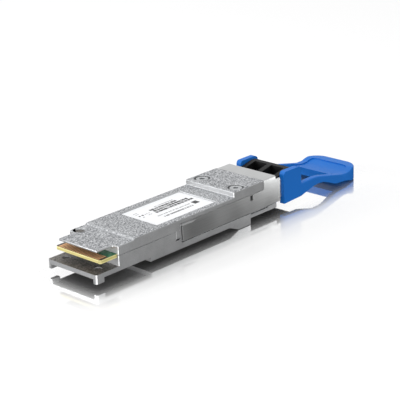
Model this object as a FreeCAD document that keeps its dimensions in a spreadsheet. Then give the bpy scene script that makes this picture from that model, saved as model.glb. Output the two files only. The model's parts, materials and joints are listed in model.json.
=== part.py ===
import FreeCAD, Part
import os
import re
import Sketcher
from FreeCAD import Placement, Rotation, Vector

# A pluggable optical transceiver: die-cast case, card edge at the host end, duplex LC
# receptacle at the fibre end, and a pull tab whose slider frees the cage's latches.
#
# Every piece is drawn in the case's own frame: x runs from the host end to the pull tab,
# y to the left, and z is up from the underside of the case. The whole is then moved so
# that the origin is the middle of its base.

doc = FreeCAD.newDocument("transceiver")
sheet = doc.addObject("Spreadsheet::Sheet", "dims")

# Driving dimensions, in millimetres.
DIMENSIONS = {
    # The whole module and its case
    "overall_length": 110.2,
    "case_width": 18.35,
    "case_top": 8.5,
    "floor_skin": 1.2,
    "wall_front": 8.0,
    "front_lip_low": 1.3,
    "front_lip_top": 2.54,
    "front_foot": 2.7,
    "foot_skin": 1.15,
    "underside_step": 19.5,
    "cover_lip_front": 2.35,
    "cover_lip_width": 14.3,
    "cover_low_top": 8.0,
    "cover_step": 13.5,
    "parting_front": 5.37,
    "parting_rear": 7.2,
    "latch_tongue": 29.2,
    "latch_tongue_end": 30.7,
    "latch_tongue_low": 3.2,
    "bay_width": 15.0,
    "edge_round": 0.25,
    "cover_lip_skin": 0.6,
    "cover_lip_root": 0.2,
    "cover_ramp": 0.5,
    "tail_clearance": 0.7,
    "play": 0.05,
    "overcut": 0.1,
    "bay_ledge": 0.9,
    "bay_wall": 1.2,
    "boss_reach": 1.5,
    # Round marks pressed into the lips
    "dimple_radius": 1.65,
    "dimple_place": 9.9,
    "dimple_side": 7.35,
    "dimple_depth": 0.45,
    "lip_mark_radius": 1.1,
    "lip_mark_place": 3.6,
    "lip_mark_side": 6,
    "lip_mark_depth": 0.35,
    # The nose, outside the cage
    "nose_step": 52.4,
    "nose_top": 10.0,
    "case_end": 70.4,
    "ridge_depth": 1.5,
    "ridge_front": 54.0,
    "ridge_end": 59.1,
    "ridge_sweep": 3.6,
    "nose_low": 0.5,
    "relief_end": 66.5,
    "relief_low": 1.45,
    # Release slider
    "sheet_metal": 0.5,
    "arm_width": 17.9,
    "arm_rear": 31.5,
    "arm_low": 1.9,
    "arm_top": 7.1,
    "arm_gap": 0.1,
    "cam_reach": 0.5,
    "cam_flat": 34.8,
    "cam_ramp": 37.3,
    "band_rear": 65.2,
    "cheek_end": 72.4,
    "cheek_top": 8.8,
    "tang_width": 16.0,
    "tang_end": 80.0,
    "tang_low": 2.5,
    "tang_top": 7.5,
    "slot_rear": 59.5,
    "slot_front": 61.0,
    "slot_low": 5.3,
    "slot_top": 6.9,
    "arm_corner": 0.4,
    "lug_skin": 0.4,
    "lug_side": 6.65,
    "cam_inset": 0.5,
    # Spring bays, one in each side wall
    "spring_rear": 60.95,
    "spring_front": 67.2,
    "spring_side": 7.35,
    "spring_height": 6.2,
    "coil_radius": 0.7,
    "coil_wire": 0.13,
    "coil_pitch": 0.78,
    "spring_space": 1,
    # Pull tab
    "tab_width": 18.2,
    "tab_plate": 1.7,
    "tab_rear": 74.0,
    "tab_plate_end": 81.7,
    "tab_arm": 1.5,
    "tab_bar": 98.3,
    "tab_low": -1.1,
    "tab_rim": 2.8,
    "tab_side_rim": 2.1,
    "tab_tip_rim": 3.4,
    "tab_recess": 0.35,
    "tab_recess_end": 2.3,
    "recess_corner": 1.8,
    "recess_sweep": 8,
    "tab_corner": 5.2,
    "rim_round": 0.35,
    # The tab's outline from the side: the arms' crest and dip above, arch and heel below
    "tab_plate_low": 0.4,
    "arm_root": 4.6,
    "crest_at": 89.0,
    "crest": 4.75,
    "dip_at": 101.5,
    "dip": 2.0,
    "dip_end": 104.0,
    "rim_at": 106.6,
    "toe_at": 105.8,
    "instep_at": 102.8,
    "instep": -0.35,
    "heel_at": 98.1,
    "heel": -0.1,
    "arch_end": 91.9,
    "arch_at": 88.0,
    "arch": 2.3,
    "arch_root": 0.7,
    "crest_sweep": 20,
    "arch_sweep": 7.5,
    "toe_sweep": 3,
    "plate_end_round": 1.6,
    "plate_rear_round": 1.0,
    # Duplex LC receptacle
    "port_pitch": 6.25,
    "port_size": 4.6,
    "port_axis": 4.4,
    "receptacle_rear": 62.0,
    "receptacle_neck": 11.8,
    "receptacle_width": 14.1,
    "receptacle_flare": 68.0,
    "receptacle_end": 79.9,
    "receptacle_low": 1.4,
    "receptacle_top": 9.45,
    "port_back": 66.0,
    "bay_rear": 72.2,
    "bar_rear": 78.2,
    "bar_low": 7.3,
    "latch_slot": 2.6,
    "wall_dip": 75.0,
    "wall_dip_top": 8.8,
    "neck_play": 0.08,
    "holder_rear": 60.2,
    "holder_front": 61.2,
    # Circuit board
    "board_low": 4.7,
    "board_skin": 1.0,
    "board_front": 2.1,
    "board_corner": 0.6,
    "board_bevel": 0.25,
    "board_rear": 43.5,
    "board_neck": 27.0,
    "card_width": 16.9,
    "board_width": 14.4,
    "contact_pitch": 0.8,
    "contact_width": 0.54,
    "contact_length": 2.7,
    "contact_inset": 0.45,
    "contact_skin": 0.05,
    # Parts on the board
    "chip_height": 0.9,
    "retimer_rear": 33.0,
    "retimer_front": 39.0,
    "retimer_width": 5,
    "controller_rear": 19.0,
    "controller_front": 24.0,
    "controller_width": 5,
    "controller_height": 0.8,
    "capacitor_rear": 12.5,
    "capacitor_step": 1.3,
    "capacitor_length": 0.6,
    "capacitor_width": 1,
    "capacitor_side": 5.4,
    "capacitor_height": 0.5,
    "inductor_rear": 20.5,
    "inductor_front": 23.0,
    "inductor_width": 2,
    "inductor_side": 5.2,
    "inductor_height": 1,
    # Optical subassemblies
    "optics_rear": 44.5,
    "optics_front": 53.5,
    "optics_width": 5.2,
    "optics_height": 5.0,
    "barrel_radius": 1.6,
    "barrel_play": 0.02,
    "barrel_tip": 71.0,
    "flange_radius": 2.3,
    "sleeve_radius": 0.86,
    "sleeve_play": 0.05,
    "barrel_lip": 0.4,
    "barrel_mouth": 0.79,
    "ferrule_radius": 0.63,
    "stub_rear": 57.5,
    "stub_front": 65.0,
    "stub_grip": 0.15,
    "sleeve_slit": 0.2,
    "stub_play": 0.005,
    "flex_width": 3.8,
    "flex_skin": 0.12,
    "flex_overlap": 2,
    "flex_bend": 43.9,
    "flex_low": 3.4,
    # Thermal pads and gaskets
    "pad_width": 11.2,
    "pad_inset": 0.5,
    "gasket_rear": 63.0,
    "gasket_front": 65.4,
    "gasket_skin": 0.3,
    # Cover screws and label
    "screw_place": 56.3,
    "screw_side": 6.4,
    "counterbore": 2.35,
    "counterbore_low": 8.9,
    "screw_head": 1.8,
    "screw_head_height": 0.85,
    "screw_thread": 0.8,
    "screw_thread_play": 0.02,
    "screw_length": 3.6,
    "screw_hole": 4,
    "socket_radius": 0.85,
    "socket_floor": 0.3,
    "label_rear": 24.5,
    "label_front": 47.1,
    "label_width": 13.6,
    "label_recess": 0.4,
    "label_skin": 0.06,
    "label_corner": 0.5,
    "label_margin": 0.3,
}

for row, (alias, size) in enumerate(DIMENSIONS.items(), start=1):
    sheet.set("A%d" % row, alias)
    sheet.set("B%d" % row, "%g" % size)
    sheet.setAlias("B%d" % row, alias)
doc.recompute()

SIDES = {"left": 1, "right": -1}
nodes = []


def bound(text):
    """An expression in the sheet's words, as FreeCAD reads it."""
    return re.sub(r"[a-z][a-z_]+", lambda word: "dims." + word.group(0), str(text))


def number(text):
    """The value that an expression has now."""
    return float(sheet.evalExpression(bound(text)))


def node(piece, name):
    """Name a finished piece and move it to the module's own origin."""
    if piece.TypeId in ("Part::Box", "Part::Cylinder", "Part::Feature"):
        # its own placement is already in use, so the move goes on a group around it
        piece = group([piece])
    piece.Label = name
    piece.setExpression(".Placement.Base.x", bound("-overall_length / 2"))
    piece.setExpression(".Placement.Base.z", bound("ridge_depth"))
    nodes.append(piece)
    return piece


# ---- Part primitives ----

def block(x, y, z):
    """A box between the low and high ends given for each axis."""
    box = doc.addObject("Part::Box", "block")
    for axis, side, (low, high) in zip("xyz", ("Length", "Width", "Height"), (x, y, z)):
        box.setExpression("Placement.Base." + axis, bound(low))
        box.setExpression(side, bound("(%s) - (%s)" % (high, low)))
    return box


def rod(radius, x, y, z):
    """A cylinder along x, from x[0] to x[1], about the line at y and z."""
    cylinder = doc.addObject("Part::Cylinder", "rod")
    cylinder.Placement = Placement(Vector(), Rotation(Vector(0, 1, 0), 90))
    cylinder.setExpression("Radius", bound(radius))
    cylinder.setExpression("Height", bound("(%s) - (%s)" % (x[1], x[0])))
    cylinder.setExpression("Placement.Base.x", bound(x[0]))
    cylinder.setExpression("Placement.Base.y", bound(y))
    cylinder.setExpression("Placement.Base.z", bound(z))
    return cylinder


def post(radius, x, y, z):
    """A cylinder along z, from z[0] to z[1], about the point at x and y."""
    cylinder = doc.addObject("Part::Cylinder", "post")
    cylinder.setExpression("Radius", bound(radius))
    cylinder.setExpression("Height", bound("(%s) - (%s)" % (z[1], z[0])))
    cylinder.setExpression("Placement.Base.x", bound(x))
    cylinder.setExpression("Placement.Base.y", bound(y))
    cylinder.setExpression("Placement.Base.z", bound(z[0]))
    return cylinder


def joined(pieces):
    fuse = doc.addObject("Part::MultiFuse", "joined")
    fuse.Shapes = pieces
    return fuse


def without(base, tool):
    cut = doc.addObject("Part::Cut", "without")
    cut.Base = base
    cut.Tool = tool
    return cut


def group(pieces):
    """Separate solids that share one node."""
    compound = doc.addObject("Part::Compound", "group")
    compound.Links = pieces
    return compound


# ---- PartDesign features ----

PLANES = {"top": "XY_Plane", "side": "XZ_Plane"}


def outline(body, plane, height, points):
    """A closed sketch on one of the body's own planes, each corner held by the sheet."""
    sketch = body.newObject("Sketcher::SketchObject", "outline")
    origin = [part for part in body.Origin.OriginFeatures if part.Role == PLANES[plane]][0]
    sketch.AttachmentSupport = [(origin, "")]
    sketch.MapMode = "FlatFace"
    sketch.setExpression("AttachmentOffset.Base.z", bound(height))
    corners = [Vector(number(a), number(b), 0) for a, b in points]
    count = len(corners)
    for index, corner in enumerate(corners):
        sketch.addGeometry(Part.LineSegment(corner, corners[(index + 1) % count]), False)
    for index in range(count):
        following = (index + 1) % count
        sketch.addConstraint(Sketcher.Constraint("Coincident", index, 2, following, 1))
    for index, (corner, point) in enumerate(zip(corners, points)):
        for kind, now, text in (("DistanceX", corner.x, point[0]), ("DistanceY", corner.y, point[1])):
            held = sketch.addConstraint(Sketcher.Constraint(kind, -1, 1, index, 1, now))
            sketch.setExpression("Constraints[%d]" % held, bound(text))
    return sketch


def prism(body, plane, points, low, high, removes=False):
    """Pad or pocket an outline between two heights: z for a top view, y for a side view."""
    if plane == "side":
        low, high = "-(%s)" % high, "-(%s)" % low
    sketch = outline(body, plane, low, points)
    kind = "PartDesign::Pocket" if removes else "PartDesign::Pad"
    before = body.Shape.Volume if removes else 0
    feature = body.newObject(kind, "cut" if removes else "pad")
    feature.Profile = sketch
    feature.setExpression("Length", bound("(%s) - (%s)" % (high, low)))
    feature.Reversed = removes
    doc.recompute()
    if removes and feature.Shape.Volume > before - 1e-6:
        raise ValueError(body.Name + " has a pocket that cuts nothing")
    return feature


def box_points(x, y):
    return [(x[0], y[0]), (x[1], y[0]), (x[1], y[1]), (x[0], y[1])]


def remove(body, x, y, z):
    """Cut a box-shaped space out of a body."""
    return prism(body, "top", box_points(x, y), z[0], z[1], removes=True)


def add(body, x, y, z):
    """Add a box-shaped lump to a body."""
    return prism(body, "top", box_points(x, y), z[0], z[1])


def both_sides(y):
    """The same y range on the left and on the right."""
    return [y, ("-(%s)" % y[1], "-(%s)" % y[0])]


def drill(body, radius, x, y, z):
    """A round hole along z."""
    sketch = body.newObject("Sketcher::SketchObject", "circle")
    origin = [part for part in body.Origin.OriginFeatures if part.Role == "XY_Plane"][0]
    sketch.AttachmentSupport = [(origin, "")]
    sketch.MapMode = "FlatFace"
    sketch.setExpression("AttachmentOffset.Base.z", bound(z[0]))
    centre = Vector(number(x), number(y), 0)
    sketch.addGeometry(Part.Circle(centre, Vector(0, 0, 1), number(radius)), False)
    for kind, now, text in (("DistanceX", centre.x, x), ("DistanceY", centre.y, y)):
        held = sketch.addConstraint(Sketcher.Constraint(kind, -1, 1, 0, 3, now))
        sketch.setExpression("Constraints[%d]" % held, bound(text))
    held = sketch.addConstraint(Sketcher.Constraint("Radius", 0, number(radius)))
    sketch.setExpression("Constraints[%d]" % held, bound(radius))
    before = body.Shape.Volume
    pocket = body.newObject("PartDesign::Pocket", "hole")
    pocket.Profile = sketch
    pocket.setExpression("Length", bound("(%s) - (%s)" % (z[1], z[0])))
    pocket.Reversed = True
    doc.recompute()
    if pocket.Shape.Volume > before - 1e-6:
        raise ValueError(body.Name + " has a hole that cuts nothing")
    return pocket


def soften(body, radius, chosen):
    """Round every edge of the body's last feature that the chosen test accepts."""
    base = body.Tip
    names = []
    for index, edge in enumerate(base.Shape.Edges, start=1):
        if chosen(edge):
            names.append("Edge%d" % index)
    if not names:
        raise ValueError(body.Name + " has no edge to round")
    fillet = body.newObject("PartDesign::Fillet", "round")
    fillet.Base = (base, names)
    fillet.setExpression("Radius", bound(radius))
    doc.recompute()
    return fillet


def runs_along(edge, axis):
    start = edge.Vertexes[0].Point
    end = edge.Vertexes[-1].Point
    step = end - start
    return edge.Curve.TypeId == "Part::GeomLine" and abs(abs(step.dot(axis)) - step.Length) < 1e-6


def is_at(edge, x=None, y=None, z=None):
    """True when both ends of an edge have the coordinates that are given."""
    for vertex in edge.Vertexes:
        for now, text in ((vertex.X, x), (abs(vertex.Y), y), (vertex.Z, z)):
            if text is not None and abs(now - number(text)) > 1e-5:
                return False
    return True


ACROSS = Vector(0, 1, 0)
ALONG = Vector(1, 0, 0)
UP = Vector(0, 0, 1)


def bottom_housing():
    """Floor, side walls and ridge of the die-cast case."""
    body = doc.addObject("PartDesign::Body", "bottom_housing")
    profile = [
        ("0", "front_lip_low"),
        ("0", "front_lip_top"),
        ("wall_front", "front_lip_top"),
        ("wall_front", "parting_front"),
        ("latch_tongue_end", "parting_front"),
        ("latch_tongue_end", "parting_rear"),
        ("case_end", "parting_rear"),
        ("case_end", "nose_low"),
        ("ridge_end", "nose_low"),
        ("ridge_end", "-ridge_depth"),
        ("ridge_front", "-ridge_depth"),
        ("ridge_front - ridge_sweep", "0"),
        ("underside_step", "0"),
        ("underside_step", "front_lip_low"),
    ]
    prism(body, "side", profile, "-case_width / 2", "case_width / 2")
    soften(body, "ridge_sweep", lambda edge: (
        runs_along(edge, ACROSS) and is_at(edge, x="ridge_front - ridge_sweep", z="0")))
    soften(body, "edge_round", lambda edge: (
        runs_along(edge, UP) and is_at(edge, x="wall_front", y="case_width / 2")
        or runs_along(edge, ALONG) and is_at(edge, y="case_width / 2", z="0")
        or runs_along(edge, ALONG) and is_at(edge, y="case_width / 2", z="-ridge_depth")))
    for y in both_sides(("case_width / 2 - foot_skin", "case_width / 2")):
        add(body, ("0", "front_foot"), y, ("0", "front_lip_low"))
    soften(body, "edge_round * 2", lambda edge: (
        runs_along(edge, UP) and is_at(edge, x="0", y="case_width / 2")))
    half_bay = "bay_width / 2"
    half_card = "card_width / 2 + play"
    ledge = "bay_width / 2 - bay_ledge"
    half_neck = "receptacle_neck / 2 + neck_play"
    flare = "receptacle_width / 2 + play"
    sunk = "floor_skin - overcut"
    top = "parting_rear"
    spaces = [
        # under and beside the paddle card
        (("wall_front + bay_wall", "underside_step + bay_wall + overcut"), ledge, ("front_lip_top", top)),
        (("wall_front", "board_neck + 6 * play"), half_card, ("board_low", top)),
        # the main bay, with a ledge each side for the board
        (("underside_step + bay_wall", "board_rear + 6 * overcut"), ledge, ("floor_skin", top)),
        (("board_neck", "screw_place - boss_reach"), half_bay, ("board_low", top)),
        (("board_rear", "screw_place - boss_reach"), half_bay, ("floor_skin", top)),
        # between the screw bosses and past them to the receptacle
        (("screw_place - boss_reach - overcut", "screw_place + boss_reach + overcut"),
         "screw_side - boss_reach", ("floor_skin", top)),
        (("screw_place + boss_reach", "slot_rear - 5 * overcut"), half_bay, ("floor_skin", top)),
        (("slot_rear - 6 * overcut", "case_end"), half_neck, (sunk, top)),
        (("receptacle_flare - overcut", "case_end"), flare, (sunk, top)),
    ]
    for x, half, z in spaces:
        remove(body, x, ("-(%s)" % half, half), z)
    outside = "case_width / 2 + 1"
    channel = "arm_width / 2 - sheet_metal - arm_gap"
    for y in both_sides((half_bay, outside)):
        # seat for the tongue of the cover
        remove(body, ("latch_tongue - play", "latch_tongue_end + play"), y,
               ("latch_tongue_low - 6 * play", top))
    for y in both_sides((channel, outside)):
        remove(body, ("arm_rear - 3 * arm_gap", "case_end"), y, ("arm_low - arm_gap", top))
        # relief between the arm's lower edge and the strip below it
        remove(body, ("ridge_end", "relief_end"), y, ("relief_low", "arm_low"))
    for y in both_sides(("spring_side - spring_space", "arm_width / 2")):
        remove(body, ("slot_rear + overcut", "spring_front"), y, ("slot_low - play", top))
    for y in ("screw_side", "-screw_side"):
        drill(body, "screw_thread", "screw_place", y, ("parting_rear - screw_hole", top))
    for y in ("lip_mark_side", "-lip_mark_side"):
        drill(body, "lip_mark_radius", "lip_mark_place", y,
              ("front_lip_top - lip_mark_depth", "front_lip_top"))
    return node(body, "bottom_housing")


def top_cover():
    """Lid of the case, with the thin front lip, the label recess and the raised nose."""
    body = doc.addObject("PartDesign::Body", "top_cover")
    profile = [
        ("wall_front", "parting_front"),
        ("wall_front", "cover_low_top"),
        ("cover_step", "cover_low_top"),
        ("cover_step + cover_ramp", "case_top"),
        ("nose_step", "case_top"),
        ("nose_step", "nose_top"),
        ("band_rear", "nose_top"),
        ("band_rear", "nose_top - sheet_metal"),
        ("case_end", "nose_top - sheet_metal"),
        ("case_end", "parting_rear"),
        ("latch_tongue_end", "parting_rear"),
        ("latch_tongue_end", "latch_tongue_low"),
        ("latch_tongue", "latch_tongue_low"),
        ("latch_tongue", "parting_front"),
    ]
    prism(body, "side", profile, "-case_width / 2", "case_width / 2")
    soften(body, "edge_round", lambda edge: (
        runs_along(edge, ALONG) and is_at(edge, y="case_width / 2", z="case_top")
        or runs_along(edge, ALONG) and is_at(edge, y="case_width / 2", z="nose_top")
        or runs_along(edge, UP) and is_at(edge, x="nose_step", y="case_width / 2")
        or runs_along(edge, UP) and is_at(edge, x="wall_front", y="case_width / 2")))
    half_lip = "cover_lip_width / 2"
    add(body, ("cover_lip_front", "wall_front + cover_lip_root"), ("-" + half_lip, half_lip),
        ("cover_low_top - cover_lip_skin", "cover_low_top"))
    half_bay = "bay_width / 2"
    half_card = "card_width / 2 + play"
    flare = "receptacle_width / 2 + play"
    card_top = "board_low + board_skin + play"
    spaces = [
        (("wall_front", "wall_front + bay_ledge + overcut"), half_card, ("parting_front", card_top)),
        (("wall_front + bay_ledge", "latch_tongue"), half_card, ("parting_front", "parting_rear")),
        (("latch_tongue - overcut", "latch_tongue_end"), half_bay, ("latch_tongue_low", "parting_rear")),
        (("receptacle_flare - overcut", "case_end"), flare,
         ("parting_rear", "parting_rear + tail_clearance")),
    ]
    for x, half, z in spaces:
        remove(body, x, ("-(%s)" % half, half), z)
    margin = "label_width / 2 + label_margin"
    remove(body, ("label_rear - label_margin", "label_front + label_margin"),
           ("-(%s)" % margin, margin), ("case_top - label_recess", "case_top"))
    for y in both_sides(("arm_width / 2 - sheet_metal - arm_gap", "case_width / 2 + 1")):
        remove(body, ("band_rear", "case_end"), y, ("parting_rear", "nose_top"))
    for y in ("screw_side", "-screw_side"):
        drill(body, "counterbore", "screw_place", y, ("counterbore_low", "nose_top"))
        drill(body, "screw_thread + overcut", "screw_place", y, ("parting_rear", "counterbore_low"))
    drill(body, "dimple_radius", "dimple_place", "dimple_side",
          ("cover_low_top - dimple_depth", "cover_low_top"))
    return node(body, "top_cover")


def release_slider():
    """One stamping: a band over the nose, two arms with cams, and tangs inside the tab."""
    body = doc.addObject("PartDesign::Body", "release_slider")
    arm = [
        ("arm_rear", "arm_low + arm_corner"),
        ("arm_rear + arm_corner", "arm_low"),
        ("cheek_end", "arm_low"),
        ("cheek_end", "cheek_top"),
        ("case_end", "cheek_top"),
        ("case_end", "nose_top"),
        ("band_rear", "nose_top"),
        ("band_rear", "arm_top"),
        ("arm_rear + arm_corner", "arm_top"),
        ("arm_rear", "arm_top - arm_corner"),
    ]
    outer = "arm_width / 2"
    inner = "arm_width / 2 - sheet_metal"
    prism(body, "side", box_points(("band_rear", "case_end"),
                                   ("nose_top - sheet_metal + play", "nose_top")),
          "-(%s)" % outer, outer)
    for y in both_sides((inner, outer)):
        prism(body, "side", arm, y[0], y[1])
    soften(body, "sheet_metal", lambda edge: (
        runs_along(edge, ALONG) and is_at(edge, y=outer, z="nose_top")))
    for sign in ("", "-"):
        # cam at the arm's end, pressed outwards
        cam = [
            ("arm_rear", "%s(%s)" % (sign, outer)),
            ("arm_rear", "%s(%s + cam_reach)" % (sign, outer)),
            ("cam_flat", "%s(%s + cam_reach)" % (sign, outer)),
            ("cam_ramp", "%s(%s)" % (sign, outer)),
        ]
        prism(body, "top", cam, "arm_low + cam_inset", "arm_top - cam_inset")
    tang_outer = "tang_width / 2"
    tang_inner = "tang_width / 2 - sheet_metal"
    for y in both_sides((tang_inner, inner)):
        add(body, ("cheek_end - sheet_metal", "cheek_end"), y, ("tang_low", "tang_top"))
    for y in both_sides((tang_inner, tang_outer)):
        add(body, ("cheek_end - sheet_metal", "tang_end"), y, ("tang_low", "tang_top"))
    for y in both_sides((inner, outer)):
        remove(body, ("slot_rear", "slot_front"), y, ("slot_low", "slot_top"))
    for y in both_sides(("lug_side", outer)):
        # lug bent in from the slot, which pushes the return spring
        add(body, ("spring_rear - lug_skin", "spring_rear"), y, ("slot_low", "slot_top"))
    return node(body, "release_slider")


def paddle_recess():
    """The space sunk into the paddle's face, which follows the dip of its rim."""
    body = doc.addObject("PartDesign::Body", "recess_space")
    tip_wall = "overall_length - tab_tip_rim"
    half = "tab_width / 2 - tab_side_rim"
    low_edges = [("dip_at", "dip - tab_recess"), ("dip_end", "dip - tab_recess")]
    profile = [("tab_bar - overcut", "tab_recess_end")] + low_edges + [
        ("rim_at", "tab_rim - tab_recess"),
        (tip_wall, "tab_rim - tab_recess"),
        (tip_wall, "crest"),
        ("tab_bar - overcut", "crest"),
    ]
    prism(body, "side", profile, "-(%s)" % half, half)
    soften(body, "recess_sweep", lambda edge: runs_along(edge, ACROSS) and any(
        is_at(edge, x=x, z=z) for x, z in low_edges))
    soften(body, "recess_corner", lambda edge: runs_along(edge, UP) and is_at(edge, x=tip_wall))
    return body


def pull_tab():
    """Moulded tab: side plates, two arms that sweep down, and a paddle with a raised rim."""
    body = doc.addObject("PartDesign::Body", "tab_moulding")
    profile = [
        ("tab_rear", "tab_plate_low"),
        ("tab_rear", "nose_top"),
        ("tab_plate_end", "nose_top"),
        ("tab_plate_end", "arm_root"),
        ("crest_at", "crest"),
        ("dip_at", "dip"),
        ("dip_end", "dip"),
        ("rim_at", "tab_rim"),
        ("overall_length", "tab_rim"),
        ("overall_length", "tab_low"),
        ("toe_at", "tab_low"),
        ("instep_at", "instep"),
        ("heel_at", "heel"),
        ("arch_end", "arch"),
        ("arch_at", "arch"),
        ("tab_plate_end", "arch_root"),
    ]
    half = "tab_width / 2"
    prism(body, "side", profile, "-(%s)" % half, half)
    sweeps = {
        "crest_sweep": [("crest_at", "crest")],
        "arch_sweep": [("dip_at", "dip"), ("arch_end", "arch"), ("arch_at", "arch"), ("heel_at", "heel")],
        "toe_sweep": [("rim_at", "tab_rim"), ("dip_end", "dip"),
                      ("instep_at", "instep"), ("toe_at", "tab_low")],
        "plate_end_round": [("tab_plate_end", "nose_top")],
        "plate_rear_round": [("tab_rear", "nose_top")],
    }
    for radius, corners in sweeps.items():
        for x, z in corners:
            soften(body, radius, lambda edge: runs_along(edge, ACROSS) and is_at(edge, x=x, z=z))
    soften(body, "tab_corner", lambda edge: (
        runs_along(edge, UP) and is_at(edge, x="overall_length", y=half)))
    soften(body, "rim_round", lambda edge: abs(edge.BoundBox.ZMax - number("tab_rim")) < 1e-5
           and edge.BoundBox.XMax > number("overall_length") - 0.1)
    inside_plates = "%s - tab_plate" % half
    remove(body, ("tab_rear", "tab_plate_end"), ("-(%s)" % inside_plates, inside_plates),
           ("0", "nose_top"))
    inside_arms = "%s - tab_arm" % half
    remove(body, ("tab_plate_end - overcut", "tab_bar"), ("-(%s)" % inside_arms, inside_arms),
           ("tab_low", "nose_top"))
    for y in both_sides(("tang_width / 2 - sheet_metal", "tang_width / 2")):
        # pocket that the slider's tang is moulded into
        remove(body, ("tab_rear", "tang_end"), y, ("tang_low", "tang_top"))
    return node(without(body, paddle_recess()), "pull_tab")


def lc_receptacle():
    """Moulded duplex receptacle, with open latch bays and a bar across the end."""
    body = doc.addObject("PartDesign::Body", "receptacle_moulding")
    half_neck = "receptacle_neck / 2"
    half = "receptacle_width / 2"
    add(body, ("receptacle_rear", "receptacle_end"), ("-" + half_neck, half_neck),
        ("receptacle_low", "parting_rear - gasket_skin"))
    flare = [
        ("receptacle_flare", "receptacle_low"),
        ("receptacle_flare", "parting_rear"),
        ("wall_dip", "wall_dip_top"),
        ("bar_rear", "receptacle_top"),
        ("receptacle_end", "receptacle_top"),
        ("receptacle_end", "receptacle_low"),
    ]
    prism(body, "side", flare, "-" + half, half)
    for sign in ("", "-"):
        low = "%sport_pitch / 2 - port_size / 2" % sign
        high = "%sport_pitch / 2 + port_size / 2" % sign
        remove(body, ("port_back", "receptacle_end"), (low, high),
               ("port_axis - port_size / 2", "port_axis + port_size / 2 - overcut"))
        slot = ("%sport_pitch / 2 - latch_slot / 2" % sign, "%sport_pitch / 2 + latch_slot / 2" % sign)
        remove(body, ("bay_rear", "receptacle_end"), slot, ("port_axis", "bar_low"))
        remove(body, ("bay_rear", "bar_rear"), (low, high), ("port_axis", "receptacle_top"))
    doc.recompute()
    bores = joined([rod("barrel_radius + barrel_play", ("receptacle_rear - 1", "port_back + 0.5"),
                        "%sport_pitch / 2" % sign, "port_axis") for sign in ("", "-")])
    return node(without(body, bores), "lc_receptacle")


def circuit_board():
    """Board whose front end is the paddle card, with chamfered corners and leading edge."""
    body = doc.addObject("PartDesign::Body", "circuit_board")
    right = [
        ("board_front", "-card_width / 2 + board_corner"),
        ("board_front + board_corner", "-card_width / 2"),
        ("board_neck", "-card_width / 2"),
        ("board_neck", "-board_width / 2"),
        ("board_rear", "-board_width / 2"),
    ]
    left = [(x, "-(%s)" % y) for x, y in reversed(right)]
    prism(body, "top", right + left, "board_low", "board_low + board_skin")
    base = body.Tip
    names = []
    for index, edge in enumerate(base.Shape.Edges, start=1):
        if runs_along(edge, ACROSS) and is_at(edge, x="board_front"):
            names.append("Edge%d" % index)
    chamfer = body.newObject("PartDesign::Chamfer", "leading_edge")
    chamfer.Base = (base, names)
    chamfer.setExpression("Size", bound("board_bevel"))
    doc.recompute()
    return node(body, "circuit_board")


def edge_contacts():
    """Nineteen gold fingers on each face of the paddle card."""
    faces = {
        "edge_contacts_top": ("board_low + board_skin", "board_low + board_skin + contact_skin"),
        "edge_contacts_bottom": ("board_low - contact_skin", "board_low"),
    }
    start = "board_front + contact_inset"
    for name, z in faces.items():
        fingers = []
        for index in range(-9, 10):
            y = ("%d * contact_pitch - contact_width / 2" % index,
                 "%d * contact_pitch + contact_width / 2" % index)
            fingers.append(block((start, start + " + contact_length"), y, z))
        node(group(fingers), name)


def optics(role, sign):
    """Optical box, steel barrel, split ceramic sleeve and fibre stub on one port's axis."""
    axis = "%sport_pitch / 2" % sign
    across = (axis + " - optics_width / 2", axis + " + optics_width / 2")
    upright = ("port_axis - optics_height / 2", "port_axis + optics_height / 2")
    box = block(("optics_rear", "optics_front"), across, upright)
    node(box, role + "_subassembly")
    solid = joined([
        rod("barrel_radius", ("optics_front", "port_back"), axis, "port_axis"),
        rod("flange_radius", ("receptacle_rear - 0.8", "receptacle_rear"), axis, "port_axis"),
        rod("barrel_radius - 0.3", ("port_back", "barrel_tip"), axis, "port_axis"),
    ])
    bore = joined([
        rod("sleeve_radius", ("stub_rear", "barrel_tip - barrel_lip"), axis, "port_axis"),
        rod("barrel_mouth", ("barrel_tip - 2 * barrel_lip", "barrel_tip + barrel_lip"), axis, "port_axis"),
    ])
    node(without(solid, bore), role + "_barrel")
    # The split sleeve holds the stub's tip at its back end and the plug's ferrule in the rest.
    sleeve_span = ("stub_front - stub_grip", "barrel_tip - barrel_lip - sleeve_play")
    tube = without(rod("sleeve_radius", sleeve_span, axis, "port_axis"),
                   rod("ferrule_radius", ("stub_rear", "barrel_tip"), axis, "port_axis"))
    slit = block(("stub_rear", "barrel_tip"), (axis + " - sleeve_slit / 2", axis + " + sleeve_slit / 2"),
                 ("port_axis", "port_axis + 2 * sleeve_radius"))
    node(without(tube, slit), role + "_sleeve")
    stub = joined([
        rod("sleeve_radius - stub_play", ("stub_rear + sleeve_play", "stub_front - stub_grip - sleeve_play"),
            axis, "port_axis"),
        rod("ferrule_radius - stub_play", ("stub_rear + sleeve_play", "stub_front"), axis, "port_axis"),
    ])
    node(stub, role + "_fibre_stub")
    board_top = "board_low + board_skin"
    flex_sides = (axis + " - flex_width / 2", axis + " + flex_width / 2")
    bend = ("flex_bend - flex_skin", "flex_bend")
    flex = joined([
        block(("board_rear - flex_overlap", "flex_bend"), flex_sides,
              (board_top, board_top + " + flex_skin")),
        block(bend, flex_sides, ("flex_low", board_top + " + flex_skin")),
        block((bend[0], "optics_rear"), flex_sides, ("flex_low", "flex_low + flex_skin")),
    ])
    node(flex, role + "_flex")
    retimer = block(("retimer_rear", "retimer_front"),
                    (axis + " - retimer_width / 2", axis + " + retimer_width / 2"),
                    (board_top, board_top + " + chip_height"))
    node(retimer, role + "_retimer")


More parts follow.
